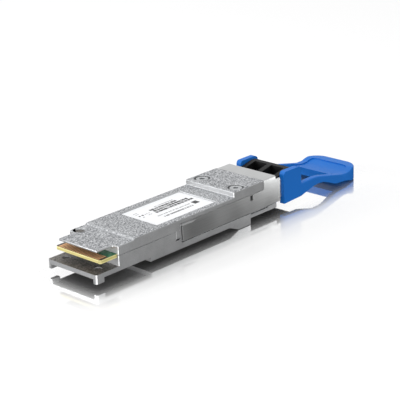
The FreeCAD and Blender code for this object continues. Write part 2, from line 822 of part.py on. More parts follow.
def barrel_holder():
    """Plate that keeps both barrel flanges against the back of the receptacle."""
    half = "receptacle_neck / 2"
    plate = block(("holder_rear", "holder_front"), ("-" + half, half),
                  ("receptacle_low", "parting_rear - overcut"))
    holes = joined([rod("barrel_radius + barrel_play", ("holder_rear - 1", "holder_front + 1"),
                        "%sport_pitch / 2" % sign, "port_axis") for sign in ("", "-")])
    node(without(plate, holes), "barrel_holder")


def board_parts():
    """Small parts on the board: microcontroller, capacitors and inductors."""
    board_top = "board_low + board_skin"
    node(block(("controller_rear", "controller_front"),
               ("-controller_width / 2", "controller_width / 2"),
               (board_top, board_top + " + controller_height")), "microcontroller")
    capacitors = []
    for column in range(4):
        start = "capacitor_rear + %d * capacitor_step" % column
        for middle in ("capacitor_side", "-capacitor_side"):
            across = (middle + " - capacitor_width / 2", middle + " + capacitor_width / 2")
            capacitors.append(block((start, start + " + capacitor_length"), across,
                                    (board_top, board_top + " + capacitor_height")))
    node(group(capacitors), "capacitors")
    inductors = []
    for middle in ("inductor_side", "-inductor_side"):
        across = (middle + " - inductor_width / 2", middle + " + inductor_width / 2")
        inductors.append(block(("inductor_rear", "inductor_front"), across,
                               (board_top, board_top + " + inductor_height")))
    node(group(inductors), "inductors")


def soft_strips():
    """Thermal pads and the conductive gaskets above and below the receptacle."""
    chip_top = "board_low + board_skin + chip_height"
    across = ("-pad_width / 2", "pad_width / 2")
    node(block(("retimer_rear", "retimer_front"), across, (chip_top, "parting_rear")),
         "retimer_thermal_pad")
    node(block(("optics_rear + pad_inset", "optics_front - pad_inset"), across,
               ("floor_skin", "port_axis - optics_height / 2")), "optics_thermal_pad")
    strip = ("gasket_rear", "gasket_front")
    across = ("-receptacle_neck / 2", "receptacle_neck / 2")
    node(block(strip, across, ("parting_rear - gasket_skin", "parting_rear")), "upper_emi_gasket")
    node(block(strip, across, ("floor_skin - overcut", "receptacle_low")), "lower_emi_gasket")


def cover_screws():
    """Two screws with hexagonal sockets that hold the cover to the housing."""
    screws = []
    for y in ("screw_side", "-screw_side"):
        head = post("screw_head", "screw_place", y,
                    ("counterbore_low", "counterbore_low + screw_head_height"))
        shank = post("screw_thread - screw_thread_play", "screw_place", y,
                     ("parting_rear - screw_length", "counterbore_low"))
        socket = doc.addObject("Part::Prism", "socket")
        socket.Polygon = 6
        socket.setExpression("Circumradius", bound("socket_radius"))
        socket.setExpression("Height", bound("screw_head_height"))
        socket.setExpression("Placement.Base.x", bound("screw_place"))
        socket.setExpression("Placement.Base.y", bound(y))
        socket.setExpression("Placement.Base.z", bound("counterbore_low + socket_floor"))
        screws.append(without(joined([head, shank]), socket))
    node(group(screws), "cover_screws")


def return_springs():
    """A compression spring each side, between the slider's lug and the housing."""
    for side, sign in SIDES.items():
        y = "%sspring_side" % ("" if sign > 0 else "-")
        length = number("spring_front - spring_rear - 2 * coil_wire - 2 * play")
        helix = Part.makeHelix(number("coil_pitch"), length, number("coil_radius"))
        start = helix.Edges[0].Vertexes[0].Point
        wire = Part.Wire([Part.makeCircle(number("coil_wire"), start, Vector(0, 1, 0))])
        coil = Part.Wire(helix.Edges).makePipeShell([wire], True, True)
        spring = doc.addObject("Part::Feature", "coil")
        spring.Shape = coil
        place = Vector(number("spring_rear + coil_wire + play"), number(y), number("spring_height"))
        spring.Placement = Placement(place, Rotation(Vector(0, 1, 0), 90))
        node(spring, "return_spring_" + side)


def label():
    """Thin label with rounded corners, in the recess of the cover."""
    body = doc.addObject("PartDesign::Body", "label")
    half = "label_width / 2"
    add(body, ("label_rear", "label_front"), ("-" + half, half),
        ("case_top - label_recess", "case_top - label_recess + label_skin"))
    soften(body, "label_corner", lambda edge: runs_along(edge, UP))
    node(body, "label")


bottom_housing()
top_cover()
release_slider()
pull_tab()
lc_receptacle()
circuit_board()
edge_contacts()
optics("transmit", "")
optics("receive", "-")
barrel_holder()
board_parts()
soft_strips()
cover_screws()
return_springs()
label()
doc.recompute()

for item in doc.Objects:
    if "Invalid" in item.State or "Error" in item.State:
        raise ValueError("%s did not recompute: %s" % (item.Label, item.State))
for piece in nodes:
    if piece.Shape.isNull() or not piece.Shape.isValid():
        raise ValueError(piece.Label + " has no valid shape")

os.makedirs("parts", exist_ok=True)
for piece in nodes:
    piece.Shape.exportStep("parts/%s.step" % piece.Label)
    box = piece.Shape.BoundBox
    print("%-24s %2d solids %8.1f mm3  x %6.1f %6.1f" % (
        piece.Label, len(piece.Shape.Solids), piece.Shape.Volume, box.XMin, box.XMax))
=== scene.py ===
import json
import math
import random

import bmesh
import bpy
from mathutils import Matrix, Vector


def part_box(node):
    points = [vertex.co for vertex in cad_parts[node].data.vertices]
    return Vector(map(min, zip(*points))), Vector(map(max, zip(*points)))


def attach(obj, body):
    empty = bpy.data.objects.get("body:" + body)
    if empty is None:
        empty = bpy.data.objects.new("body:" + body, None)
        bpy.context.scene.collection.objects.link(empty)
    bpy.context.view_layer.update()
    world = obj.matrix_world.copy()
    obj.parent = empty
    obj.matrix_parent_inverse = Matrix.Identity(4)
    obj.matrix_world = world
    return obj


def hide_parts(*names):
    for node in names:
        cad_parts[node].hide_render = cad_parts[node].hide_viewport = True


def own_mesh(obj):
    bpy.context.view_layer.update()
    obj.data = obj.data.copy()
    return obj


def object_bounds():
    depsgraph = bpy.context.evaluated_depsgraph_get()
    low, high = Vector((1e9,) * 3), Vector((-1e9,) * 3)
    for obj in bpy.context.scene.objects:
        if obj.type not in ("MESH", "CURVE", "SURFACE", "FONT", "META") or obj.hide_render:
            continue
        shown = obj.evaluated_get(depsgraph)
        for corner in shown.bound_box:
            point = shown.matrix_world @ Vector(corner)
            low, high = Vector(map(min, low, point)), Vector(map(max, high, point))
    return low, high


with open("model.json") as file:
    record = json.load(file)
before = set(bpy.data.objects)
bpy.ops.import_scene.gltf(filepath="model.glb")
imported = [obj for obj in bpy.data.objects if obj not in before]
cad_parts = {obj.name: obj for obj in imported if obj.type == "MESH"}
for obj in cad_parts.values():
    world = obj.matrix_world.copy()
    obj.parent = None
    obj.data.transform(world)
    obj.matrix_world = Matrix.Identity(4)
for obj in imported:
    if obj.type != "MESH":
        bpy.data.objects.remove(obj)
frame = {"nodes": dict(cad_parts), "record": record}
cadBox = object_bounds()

mm = 0.001  # the frame is in metres
noiseSpan = (0.3, 0.7)   # a noise texture's factor seldom leaves this range


def hexToLinear(code):
    # sRGB hex to the linear colour that shaders want
    parts = [int(code[i:i + 2], 16) / 255 for i in (1, 3, 5)]
    return tuple(c / 12.92 if c <= 0.04045 else ((c + 0.055) / 1.055) ** 2.4 for c in parts) + (1.0,)


def shaded(code, share):
    # a hex colour brought down to this share of its brightness
    return tuple(c * share for c in hexToLinear(code)[:3]) + (1.0,)


def grey(level):
    return (level, level, level, 1.0)


def perMetre(sizeMm):
    # texture scale for a feature of this size
    return 1000 / sizeMm


def fromTo(source, target=(0.0, 1.0)):
    # settings that map one range of values to another
    return {"From Min": source[0], "From Max": source[1], "To Min": target[0], "To Max": target[1]}


def addNode(tree, kind, settings=None, links=None):
    # settings name a node's own property, one of its inputs, or the stops of a colour ramp, which hold
    # hex or linear colours; links join other nodes' outputs to its inputs
    node = tree.nodes.new(kind)
    for key, value in (settings or {}).items():
        if key == "stops":
            while len(node.color_ramp.elements) < len(value):
                node.color_ramp.elements.new(0.5)   # its own place is set below
            for element, (place, colour) in zip(node.color_ramp.elements, value):
                element.position = place
                element.color = hexToLinear(colour) if isinstance(colour, str) else colour
        elif isinstance(key, str) and hasattr(node, key):
            setattr(node, key, value)
        else:
            node.inputs[key].default_value = value
    for key, source in (links or {}).items():
        tree.links.new(source, node.inputs[key])
    return node


def newMaterial(name):
    # also gives its tree, its shader and the piece's own coordinates
    material = bpy.data.materials.new(name)
    material.use_nodes = True
    tree = material.node_tree
    tree.nodes.clear()
    shader = addNode(tree, "ShaderNodeBsdfPrincipled")
    addNode(tree, "ShaderNodeOutputMaterial", links={"Surface": shader.outputs["BSDF"]})
    place = addNode(tree, "ShaderNodeTexCoord").outputs["Object"]
    return material, tree, shader, place


def setShader(shader, **values):
    for key, value in values.items():
        shader.inputs[key.replace("_", " ")].default_value = value


def join(tree, source, target):
    tree.links.new(source, target)


blasted = {
    "speckle": [(0.38, "#606265"), (0.5, "#A1A3A6"), (0.62, "#D4D5D7")],   # from the pits to their rims
    "speckleFacing": (0.3, 0.8),   # Z of the normal where the speckle starts and where it is full
    "grainMm": 0.42,               # blast pits, drawn about three times as coarse as real so that they show
    "grainRoughness": 0.7,
    "fineMm": 0.16,                # finer tooth of the sides
    "side": "#BDBEBF",
    "sideShade": 0.86,
    "patchMm": 3.5,                # slow changes of tone from the casting
    "patchTones": (0.92, 1.06),
    "shadedUnderFacing": (-0.5, -0.9),
    "shadedUnderShare": 0.45,            # painted shade: faces that look down are darkened to this share
    "paintedLedgeShade": [(0.36, "#454341"), (0.62, "#8E8A85")],   # painted shade, mottled dark grey, on upward ledges near the host end
    "ledgeFacing": 0.5,            # least Z of the normal on a ledge
    "roughness": (0.38, 0.56),
    "pitDepthMm": 0.06,
    "pitStrength": (0.12, 0.6),    # on the sides, and on the faces that look up
    "metallic": 0.85,
}


def blastedZinc(name, shadedSpan, lift=0.0):
    # die-cast zinc, bead blasted: bright speckled grey on the faces that look up, an even satin grey on the
    # sides, painted shade underneath; the second argument gives (end along X, lowest and highest Z) of an
    # upward ledge that gets painted shade
    material, tree, shader, place = newMaterial(name)
    grain = addNode(tree, "ShaderNodeTexNoise",
                    {"Scale": perMetre(blasted["grainMm"]), "Detail": 2.0,
                     "Roughness": blasted["grainRoughness"]}, {"Vector": place})
    fine = addNode(tree, "ShaderNodeTexNoise",
                   {"Scale": perMetre(blasted["fineMm"]), "Detail": 1.0}, {"Vector": place})
    patch = addNode(tree, "ShaderNodeTexNoise",
                    {"Scale": perMetre(blasted["patchMm"]), "Detail": 2.0}, {"Vector": place})
    speckle = addNode(tree, "ShaderNodeValToRGB", {"stops": blasted["speckle"]}, {0: grain.outputs["Fac"]})
    sideStops = [(noiseSpan[0], shaded(blasted["side"], blasted["sideShade"])),
                 (noiseSpan[1], blasted["side"])]
    even = addNode(tree, "ShaderNodeValToRGB", {"stops": sideStops}, {0: fine.outputs["Fac"]})
    facing = addNode(tree, "ShaderNodeSeparateXYZ",
                     links={0: addNode(tree, "ShaderNodeNewGeometry").outputs["True Normal"]})
    upper = addNode(tree, "ShaderNodeMapRange", fromTo(blasted["speckleFacing"]),
                    {"Value": facing.outputs["Z"]})
    # painted shade on the faces that look down
    underShade = addNode(tree, "ShaderNodeMapRange",
                    fromTo(blasted["shadedUnderFacing"], (1.0, blasted["shadedUnderShare"])),
                    {"Value": facing.outputs["Z"]})
    tones = [tone + lift for tone in blasted["patchTones"]]
    tone = addNode(tree, "ShaderNodeMapRange", fromTo(noiseSpan, tones), {"Value": patch.outputs["Fac"]})
    either = addNode(tree, "ShaderNodeMix", {"data_type": "RGBA"},
                     {0: upper.outputs["Result"], 6: even.outputs["Color"], 7: speckle.outputs["Color"]})
    level = addNode(tree, "ShaderNodeMath", {"operation": "MULTIPLY"},
                    {0: tone.outputs["Result"], 1: underShade.outputs["Result"]})
    tinted = addNode(tree, "ShaderNodeVectorMath", {"operation": "SCALE"},
                     {0: either.outputs[2], "Scale": level.outputs[0]})

    # painted shade on the upward ledge, in place of the blasted tones
    endX, lowZ, highZ = shadedSpan
    split = addNode(tree, "ShaderNodeSeparateXYZ", links={0: place})
    before = addNode(tree, "ShaderNodeMath", {"operation": "LESS_THAN", 1: endX}, {0: split.outputs["X"]})
    between = addNode(tree, "ShaderNodeMath",
                      {"operation": "COMPARE", 1: (lowZ + highZ) / 2, 2: (highZ - lowZ) / 2},
                      {0: split.outputs["Z"]})
    upward = addNode(tree, "ShaderNodeMath", {"operation": "GREATER_THAN", 1: blasted["ledgeFacing"]},
                     {0: facing.outputs["Z"]})
    both = addNode(tree, "ShaderNodeMath", {"operation": "MULTIPLY"},
                   {0: before.outputs[0], 1: between.outputs[0]})
    inLedgeShade = addNode(tree, "ShaderNodeMath", {"operation": "MULTIPLY"},
                      {0: both.outputs[0], 1: upward.outputs[0]})
    paintedLedgeShade = addNode(tree, "ShaderNodeValToRGB", {"stops": blasted["paintedLedgeShade"]}, {0: grain.outputs["Fac"]})
    shown = addNode(tree, "ShaderNodeMix", {"data_type": "RGBA"},
                    {0: inLedgeShade.outputs[0], 6: tinted.outputs["Vector"], 7: paintedLedgeShade.outputs["Color"]})
    join(tree, shown.outputs[2], shader.inputs["Base Color"])

    rough = addNode(tree, "ShaderNodeMapRange", fromTo(noiseSpan, blasted["roughness"]),
                    {"Value": grain.outputs["Fac"]})
    join(tree, rough.outputs["Result"], shader.inputs["Roughness"])
    depth = addNode(tree, "ShaderNodeMapRange", fromTo((0.0, 1.0), blasted["pitStrength"]),
                    {"Value": upper.outputs["Result"]})
    bump = addNode(tree, "ShaderNodeBump", {"Distance": blasted["pitDepthMm"] * mm},
                   {"Height": grain.outputs["Fac"], "Strength": depth.outputs["Result"]})
    join(tree, bump.outputs["Normal"], shader.inputs["Normal"])
    setShader(shader, Metallic=blasted["metallic"])
    return material


stamped = {
    "colour": "#C6C7C7",
    "lineShade": 0.9,
    "lineStops": (0.35, 0.65),
    "lineLongMm": 14.0,     # the sheet's rolling lines run along the arms
    "lineFineMm": 0.10,
    "lineStrength": 0.12,
    "lineDepthMm": 0.01,
    "smudgeMm": 6.0,        # handling marks, which change only the gloss
    "roughness": (0.29, 0.41),
}


def rolledStainless(name):
    # stainless sheet with a satin rolled finish: soft streaky reflections, no speckle
    material, tree, shader, place = newMaterial(name)
    along, across = perMetre(stamped["lineLongMm"]), perMetre(stamped["lineFineMm"])
    stretch = addNode(tree, "ShaderNodeMapping", {"Scale": (along, across, across)}, {"Vector": place})
    lines = addNode(tree, "ShaderNodeTexNoise", {"Scale": 1.0, "Detail": 2.0},
                    {"Vector": stretch.outputs["Vector"]})
    smudge = addNode(tree, "ShaderNodeTexNoise",
                     {"Scale": perMetre(stamped["smudgeMm"]), "Detail": 1.0}, {"Vector": place})
    colours = (shaded(stamped["colour"], stamped["lineShade"]), stamped["colour"])
    streaks = addNode(tree, "ShaderNodeValToRGB", {"stops": list(zip(stamped["lineStops"], colours))},
                      {0: lines.outputs["Fac"]})
    join(tree, streaks.outputs["Color"], shader.inputs["Base Color"])
    rough = addNode(tree, "ShaderNodeMapRange", fromTo(noiseSpan, stamped["roughness"]),
                    {"Value": smudge.outputs["Fac"]})
    join(tree, rough.outputs["Result"], shader.inputs["Roughness"])
    bump = addNode(tree, "ShaderNodeBump",
                   {"Strength": stamped["lineStrength"], "Distance": stamped["lineDepthMm"] * mm},
                   {"Height": lines.outputs["Fac"]})
    join(tree, bump.outputs["Normal"], shader.inputs["Normal"])
    setShader(shader, Metallic=1.0)
    return material


moulded = {
    "flowMm": 9.0,                  # slow changes of tone where the melt flowed
    "flowStops": (0.35, 0.65),
    "roughnessSpread": (-0.05, 0.06),
    "skinDepthMm": 0.012,
    "ior": 1.5,
}


def mouldedSkin(name, colour, roughness, sparkMm=0.22, strength=0.25, shade=0.92, gloss=0.5):
    # moulded polymer, or a ceramic or film with as even a skin: one flat colour and a soft sheen, from the
    # fine texture that the spark-eroded mould leaves
    material, tree, shader, place = newMaterial(name)
    skin = addNode(tree, "ShaderNodeTexNoise",
                   {"Scale": perMetre(sparkMm), "Detail": 2.0, "Roughness": 0.5}, {"Vector": place})
    flow = addNode(tree, "ShaderNodeTexNoise",
                   {"Scale": perMetre(moulded["flowMm"]), "Detail": 1.0}, {"Vector": place})
    colours = (shaded(colour, shade), colour)
    tint = addNode(tree, "ShaderNodeValToRGB", {"stops": list(zip(moulded["flowStops"], colours))},
                   {0: flow.outputs["Fac"]})
    join(tree, tint.outputs["Color"], shader.inputs["Base Color"])
    spread = [roughness + change for change in moulded["roughnessSpread"]]
    rough = addNode(tree, "ShaderNodeMapRange", fromTo(noiseSpan, spread), {"Value": skin.outputs["Fac"]})
    join(tree, rough.outputs["Result"], shader.inputs["Roughness"])
    bump = addNode(tree, "ShaderNodeBump",
                   {"Strength": strength, "Distance": moulded["skinDepthMm"] * mm},
                   {"Height": skin.outputs["Fac"]})
    join(tree, bump.outputs["Normal"], shader.inputs["Normal"])
    setShader(shader, IOR=moulded["ior"], Specular_IOR_Level=gloss)
    return material


tooled = {
    "lineMm": 0.3,
    "lineShade": 0.82,
    "lineStops": (0.3, 0.6),
    "lineStrength": 0.2,
    "lineDepthMm": 0.008,
}


def fineMetal(name, colour, roughness):
    # turned, plated or drawn metal: bright, with fine tool lines
    material, tree, shader, place = newMaterial(name)
    lines = addNode(tree, "ShaderNodeTexNoise",
                    {"Scale": perMetre(tooled["lineMm"]), "Detail": 3.0}, {"Vector": place})
    colours = (shaded(colour, tooled["lineShade"]), colour)
    tint = addNode(tree, "ShaderNodeValToRGB", {"stops": list(zip(tooled["lineStops"], colours))},
                   {0: lines.outputs["Fac"]})
    join(tree, tint.outputs["Color"], shader.inputs["Base Color"])
    bump = addNode(tree, "ShaderNodeBump",
                   {"Strength": tooled["lineStrength"], "Distance": tooled["lineDepthMm"] * mm},
                   {"Height": lines.outputs["Fac"]})
    join(tree, bump.outputs["Normal"], shader.inputs["Normal"])
    setShader(shader, Metallic=1.0, Roughness=roughness)
    return material


# painted highlight on rounded edges
edgeHighlight = {
    "mottleMm": 0.9,
    "mottleShade": 0.7,
    "mottleStops": (0.35, 0.55),
    "uprightFacing": (0.35, 0.1),   # Z of the normal where the painted highlight starts and where it is full
    "roughness": (0.55, 0.3),       # of the edges without the painted highlight, and of those with it
    "metallic": 0.85,
}


def highlightedEdge(name, colour, beside):
    # painted highlight on the upright corners: paler and smoother than the faces beside them, with a random
    # mottle;
    # the other edges keep the tone of their faces
    material, tree, shader, place = newMaterial(name)
    mottle = addNode(tree, "ShaderNodeTexNoise",
                    {"Scale": perMetre(edgeHighlight["mottleMm"]), "Detail": 2.0}, {"Vector": place})
    colours = (shaded(colour, edgeHighlight["mottleShade"]), colour)
    paleHighlight = addNode(tree, "ShaderNodeValToRGB", {"stops": list(zip(edgeHighlight["mottleStops"], colours))},
                   {0: mottle.outputs["Fac"]})
    facing = addNode(tree, "ShaderNodeSeparateXYZ",
                     links={0: addNode(tree, "ShaderNodeNewGeometry").outputs["Normal"]})
    lean = addNode(tree, "ShaderNodeMath", {"operation": "ABSOLUTE"}, {0: facing.outputs["Z"]})
    upright = addNode(tree, "ShaderNodeMapRange", fromTo(edgeHighlight["uprightFacing"]),
                      {"Value": lean.outputs[0]})
    shown = addNode(tree, "ShaderNodeMix", {"data_type": "RGBA", 6: hexToLinear(beside)},
                    {0: upright.outputs["Result"], 7: paleHighlight.outputs["Color"]})
    join(tree, shown.outputs[2], shader.inputs["Base Color"])
    rough = addNode(tree, "ShaderNodeMapRange", fromTo((0.0, 1.0), edgeHighlight["roughness"]),
                    {"Value": upright.outputs["Result"]})
    join(tree, rough.outputs["Result"], shader.inputs["Roughness"])
    setShader(shader, Metallic=edgeHighlight["metallic"])
    return material


laminate = {
    "mask": [(0.35, "#1F5B3C"), (0.7, "#34805A")],
    # bare laminate between the contacts, painted dark brown as shade under the cover's lip
    "shadedBare": "#3E2D1E",
    "edge": [(0.2, "#CDC17D"), (0.6, "#EADF9C")],
    "maskStartMm": 3.2,       # the solder mask starts this far from the card's host end
    "flatFacing": 0.8,
    "weaveMm": 0.5,
    "weaveStrength": 0.2,
    "weaveDepthMm": 0.02,
    "plyMm": 0.18,            # glass plies; their bands are drawn 2 pi times as coarse so that they show
    "plyDistortion": 1.5,
    "roughness": 0.38,
    "ior": 1.5,
}
waveUnit = 20  # radians that a wave texture turns through in each unit of its scale


def glassLaminate(name):
    # glass-epoxy board: green mask on its faces, the bare laminate before the mask painted dark brown with
    # shade, bare plies at its sawn edges
    material, tree, shader, place = newMaterial(name)
    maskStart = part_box("circuit_board")[0].x + laminate["maskStartMm"] * mm
    split = addNode(tree, "ShaderNodeSeparateXYZ", links={0: place})
    facing = addNode(tree, "ShaderNodeSeparateXYZ",
                     links={0: addNode(tree, "ShaderNodeNewGeometry").outputs["True Normal"]})
    flat = addNode(tree, "ShaderNodeMath", {"operation": "ABSOLUTE"}, {0: facing.outputs["Z"]})
    isFace = addNode(tree, "ShaderNodeMath", {"operation": "GREATER_THAN", 1: laminate["flatFacing"]},
                     {0: flat.outputs[0]})
    masked = addNode(tree, "ShaderNodeMath", {"operation": "GREATER_THAN", 1: maskStart},
                     {0: split.outputs["X"]})
    weave = addNode(tree, "ShaderNodeTexNoise",
                    {"Scale": perMetre(laminate["weaveMm"]), "Detail": 2.0}, {"Vector": place})
    green = addNode(tree, "ShaderNodeValToRGB", {"stops": laminate["mask"]}, {0: weave.outputs["Fac"]})
    plies = addNode(tree, "ShaderNodeTexWave",
                    {"bands_direction": "Z", "Scale": perMetre(laminate["plyMm"]) / waveUnit,
                     "Distortion": laminate["plyDistortion"]}, {"Vector": place})
    edge = addNode(tree, "ShaderNodeValToRGB", {"stops": laminate["edge"]}, {0: plies.outputs["Fac"]})
    # painted shade on the bare laminate before the mask starts
    top = addNode(tree, "ShaderNodeMix", {"data_type": "RGBA", 6: hexToLinear(laminate["shadedBare"])},
                  {0: masked.outputs[0], 7: green.outputs["Color"]})
    whole = addNode(tree, "ShaderNodeMix", {"data_type": "RGBA"},
                    {0: isFace.outputs[0], 6: edge.outputs["Color"], 7: top.outputs[2]})
    join(tree, whole.outputs[2], shader.inputs["Base Color"])
    bump = addNode(tree, "ShaderNodeBump",
                   {"Strength": laminate["weaveStrength"], "Distance": laminate["weaveDepthMm"] * mm},
                   {"Height": weave.outputs["Fac"]})
    join(tree, bump.outputs["Normal"], shader.inputs["Normal"])
    setShader(shader, Roughness=laminate["roughness"], IOR=laminate["ior"])
    return material


film = {
    "colours": [(0.3, "#EBECEE"), (0.7, "#F2F3F5")],
    "toothMm": 0.4,
    "toothStrength": 0.1,
    "toothDepthMm": 0.006,
    "roughness": 0.42,
    "ior": 1.48,
}


def coatedFilm(name):
    # white polyester label: almost smooth, with the faint tooth of its top coat
    material, tree, shader, place = newMaterial(name)
    tooth = addNode(tree, "ShaderNodeTexNoise",
                    {"Scale": perMetre(film["toothMm"]), "Detail": 2.0}, {"Vector": place})
    tint = addNode(tree, "ShaderNodeValToRGB", {"stops": film["colours"]}, {0: tooth.outputs["Fac"]})
    join(tree, tint.outputs["Color"], shader.inputs["Base Color"])
    bump = addNode(tree, "ShaderNodeBump",
                   {"Strength": film["toothStrength"], "Distance": film["toothDepthMm"] * mm},
                   {"Height": tooth.outputs["Fac"]})
    join(tree, bump.outputs["Normal"], shader.inputs["Normal"])
    setShader(shader, Roughness=film["roughness"], IOR=film["ior"])
    return material


# ledges that get painted shade, the housing's lip under the board among them: how far each runs from the
# host end, and its lowest and highest level
housingShadedLedge = {"lengthMm": 9, "levelsMm": (3.4, 4.3)}    # levels above the housing's underside
coverShadedLedge = {"lengthMm": 12, "levelsMm": (-2.6, -2.2)}   # levels from the cover's top


def ledgeSpan(ledge, hostEnd, zero):
    low, high = ledge["levelsMm"]
    return hostEnd + ledge["lengthMm"] * mm, zero + low * mm, zero + high * mm


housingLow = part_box("bottom_housing")[0]
coverLow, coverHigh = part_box("top_cover")
zinc = blastedZinc("beadBlastedZinc", ledgeSpan(housingShadedLedge, housingLow.x, housingLow.z))
zincCover = blastedZinc("beadBlastedZincCover", ledgeSpan(coverShadedLedge, coverLow.x, coverHigh.z), lift=0.06)
# painted highlights on the rounded edges of the casting and of the stamped slider
zincEdgeHighlight = highlightedEdge("zincEdgePaintedHighlight", "#F8F9FA", beside="#B0B2B4")
steelEdgeHighlight = highlightedEdge("steelEdgePaintedHighlight", "#F0F1F1", beside="#C6C7C7")
stainless = rolledStainless("rolledStainless")
blueNylon = mouldedSkin("mouldedBlueNylon", "#116CC6", roughness=0.5, strength=0.15, shade=0.96, gloss=0.3)
blackPolymer = mouldedSkin("mouldedBlackPolymer", "#0B0B0C", roughness=0.55, sparkMm=0.3, gloss=0.3)
board = glassLaminate("solderMaskedLaminate")
gold = fineMetal("hardGoldPlate", "#FFD2A2", roughness=0.7)
labelFilm = coatedFilm("polyesterLabel")
platedBox = fineMetal("goldPlatedAlloy", "#D9C27C", roughness=0.3)
turned = fineMetal("turnedStainless", "#C2C3C4", roughness=0.28)
zirconia = mouldedSkin("polishedZirconia", "#EDEBE4", roughness=0.2, sparkMm=0.5, strength=0.05)
amberFilm = mouldedSkin("polyimideFilm", "#B5701C", roughness=0.35, sparkMm=0.6)
chipPackage = mouldedSkin("chipMouldCompound", "#1B1C1E", roughness=0.5)
capacitorBody = mouldedSkin("sinteredCeramic", "#8A6A45", roughness=0.55)
ferrite = mouldedSkin("sinteredFerrite", "#3B3C3E", roughness=0.6)
thermalSilicone = mouldedSkin("thermalSilicone", "#8FA3B5", roughness=0.75, sparkMm=0.4)
silverRubber = mouldedSkin("silverFilledSilicone", "#6E6F70", roughness=0.6, sparkMm=0.3)
screwSteel = fineMetal("zincPlatedSteel", "#BEC0C2", roughness=0.35)
springWire = fineMetal("drawnSpringWire", "#9FA0A2", roughness=0.3)
print("materials made:", len(bpy.data.materials))

# pieces whose edges get the small round, in mm, that casting, stamping or moulding leaves, with the
# finish of their faces, the painted highlight of their edges where they have one, and the record's slot
edgeRounds = {
    "bottom_housing": (0.22, zinc, zincEdgeHighlight, "diecast_zinc"),
    "top_cover": (0.18, zincCover, zincEdgeHighlight, "diecast_zinc_cover"),
    "release_slider": (0.08, stainless, steelEdgeHighlight, "stamped_steel"),
    "pull_tab": (0.30, blueNylon, None, "blue_moulding"),
    "lc_receptacle": (0.12, blackPolymer, None, "black_moulding"),
    "circuit_board": (0.04, board, None, "board_laminate"),
    "cover_screws": (0.06, screwSteel, None, "screw_steel"),
}
rounding = {
    "weldMm": 0.0005,
    "flatDegrees": 0.5,       # faces that meet flatter than this are one face
    "segments": 3,
    "roundDegrees": 38,       # edges sharper than this are rounded
    "creaseDegrees": 32,      # and those sharper than this shade as a crease
}
castCorner = {
    "bandMm": 0.3,            # how far in from the widest point a casting's round corners reach
    "slant": 0.12,            # a corner's faces look at least this much along both X and Y
    "lean": 0.1,              # and at most this much up or down
}
plainFinishes = {
    "edge_contacts_top": gold, "edge_contacts_bottom": gold,
    "transmit_subassembly": platedBox, "receive_subassembly": platedBox,
    "transmit_barrel": turned, "receive_barrel": turned, "barrel_holder": turned,
    "transmit_sleeve": zirconia, "receive_sleeve": zirconia,
    "transmit_fibre_stub": zirconia, "receive_fibre_stub": zirconia,
    "transmit_flex": amberFilm, "receive_flex": amberFilm,
    "transmit_retimer": chipPackage, "receive_retimer": chipPackage, "microcontroller": chipPackage,
    "capacitors": capacitorBody, "inductors": ferrite,
    "retimer_thermal_pad": thermalSilicone, "optics_thermal_pad": thermalSilicone,
    "upper_emi_gasket": silverRubber, "lower_emi_gasket": silverRubber,
    "label": labelFilm,
}
behaviour = frame["record"]["behaviour"]
bodyOf = {node: body for body, members in behaviour["bodies"].items() for node in members}


def newPiece(name, mesh):
    piece = bpy.data.objects.new(name, mesh)
    bpy.context.scene.collection.objects.link(piece)
    return piece


def paint(piece, material):
    piece.data.materials.clear()
    piece.data.materials.append(material)
    for face in piece.data.polygons:
        face.material_index = 0


def markCastCorners(mesh, nodeName):
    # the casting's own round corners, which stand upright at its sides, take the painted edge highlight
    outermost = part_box(nodeName)[1].y - castCorner["bandMm"] * mm
    for face in mesh.polygons:
        slanted = min(abs(face.normal.x), abs(face.normal.y)) > castCorner["slant"]
        if slanted and abs(face.normal.z) < castCorner["lean"] and abs(face.center.y) > outermost:
            face.material_index = 1


def roundedShell(nodeName, roundMm, material, edgeMaterial):
    # a welded copy of the CAD piece with its flat faces whole again and its edges rounded
    mesh = frame["nodes"][nodeName].data.copy()
    mesh.name = nodeName + "Shell"
    build = bmesh.new()
    build.from_mesh(mesh)
    bmesh.ops.remove_doubles(build, verts=build.verts, dist=rounding["weldMm"] * mm)
    bmesh.ops.dissolve_limit(build, angle_limit=math.radians(rounding["flatDegrees"]), verts=build.verts,
                             edges=build.edges)
    build.to_mesh(mesh)
    build.free()
    piece = newPiece(nodeName + "Shell", mesh)
    if "custom_normal" in mesh.attributes:
        mesh.attributes.remove(mesh.attributes["custom_normal"])
    paint(piece, material)
    bevel = piece.modifiers.new("edgeRound", "BEVEL")
    bevel.width = roundMm * mm
    bevel.segments = rounding["segments"]
    bevel.limit_method = "ANGLE"
    bevel.angle_limit = math.radians(rounding["roundDegrees"])
    bevel.use_clamp_overlap = True
    bevel.harden_normals = False
    # the bevel faces take the painted edge highlight, where the piece has one
    if edgeMaterial:
        mesh.materials.append(edgeMaterial)
        bevel.material = 1
    if edgeMaterial == zincEdgeHighlight:
        markCastCorners(mesh, nodeName)
    for face in mesh.polygons:
        face.use_smooth = True
    mesh.set_sharp_from_angle(angle=math.radians(rounding["creaseDegrees"]))
    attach(piece, bodyOf[nodeName])
    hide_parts(nodeName)


def shorteningCoil(nodeName):
    # a painted copy of the coil that rides on its body and keeps its length; in the module the housing holds
    # the coil's front end, and the slider's lug drives its rear end towards it
    piece = newPiece(nodeName + "Coil", frame["nodes"][nodeName].data.copy())
    paint(piece, springWire)
    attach(piece, bodyOf[nodeName])
    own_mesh(piece)
    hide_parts(nodeName)


springs = ("return_spring_left", "return_spring_right")
for nodeName, (roundMm, material, edgeMaterial, slotName) in edgeRounds.items():
    roundedShell(nodeName, roundMm, material, edgeMaterial)
for nodeName, material in plainFinishes.items():
    paint(frame["nodes"][nodeName], material)
for nodeName in springs:
    shorteningCoil(nodeName)
print("pieces dressed:", len(edgeRounds) + len(plainFinishes) + len(springs))

